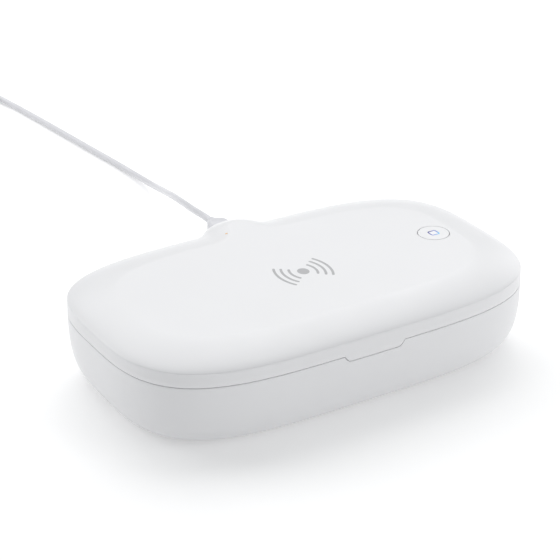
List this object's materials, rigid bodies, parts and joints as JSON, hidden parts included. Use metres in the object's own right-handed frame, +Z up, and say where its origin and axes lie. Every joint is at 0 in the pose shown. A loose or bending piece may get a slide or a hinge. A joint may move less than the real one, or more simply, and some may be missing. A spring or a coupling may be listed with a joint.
{
  "type": "phone sterilizer box with charging lid",
  "caption": "White clam-shell box with ultraviolet lamps inside, a wireless charging pad and a round power button in its hinged lid, and a plugged-in USB lead.",
  "frame": {"origin": "middle of the housing's footprint on the surface that it stands on", "axes": "+X to the power button's side along the long way, +Y back to the hinge and the port, +Z up"},
  "size_m": [0.228, 0.6081, 0.0493],
  "materials": {
    "white_shell": "satin white moulded plastic",
    "white_button": "satin white moulded plastic",
    "lit_icon": "lit blue light guide",
    "liner": "smooth pale grey",
    "polished": "bright reflector sheet",
    "quartz": "clear quartz glass",
    "board": "green circuit board",
    "dark": "dull black",
    "steel": "plated steel",
    "copper": "enamelled copper wire",
    "rubber": "soft grey",
    "lead_mould": "satin off-white",
    "cable": "soft off-white jacket",
    "amber": "small lit amber light pipe"
  },
  "bodies": {
    "base": {"base_shell": "white_shell", "chamber_tray": "liner", "base_window": "quartz", "base_reflector": "polished", "base_uv_lamp": "quartz", "base_lamp_holder_left": "liner", "base_lamp_holder_right": "liner", "main_board": "board", "lamp_driver": "dark", "base_magnet": "steel", "lid_sensor": "dark", "usb_socket": "steel", "port_board": "board", "hinge_pin": "steel", "foot_front_left": "rubber", "foot_front_right": "rubber", "foot_back_left": "rubber", "foot_back_right": "rubber", "base_screw_front_left": "steel", "base_screw_front_right": "steel", "base_screw_back_left": "steel", "base_screw_back_right": "steel", "usb_c_plug": "steel", "plug_overmould": "lead_mould", "cable_run": "cable", "cable_coil": "cable", "cable_tie": "rubber", "far_plug_mould": "lead_mould", "far_plug_shell": "steel"},
    "lid": {"lid_shell": "white_shell", "lid_liner": "liner", "lid_screw_front_left": "steel", "lid_screw_front_right": "steel", "lid_screw_back_left": "steel", "lid_screw_back_right": "steel", "lid_seal": "rubber", "lid_reflector": "polished", "lid_uv_lamp": "quartz", "lid_lamp_holder_left": "liner", "lid_lamp_holder_right": "liner", "charging_coil": "copper", "ferrite_disc": "dark", "coil_carrier": "liner", "button_board": "board", "button_switch": "dark", "status_light_pipe": "amber", "lid_magnet": "steel"},
    "button": {"power_button": "white_button", "button_icon": "lit_icon"}
  },
  "joints": [
    {"name": "lid_hinge", "type": "hinge", "parent": "base", "child": "lid", "pos_m": [0, 0.07, 0.0417], "axis": [-1, 0, 0], "range_deg": [0, 95]},
    {"name": "button_press", "type": "slide", "parent": "lid", "child": "button", "axis": [0, 0, -1], "range_m": [0, 0.0005], "stiffness_N_per_m": 800}
  ]
}
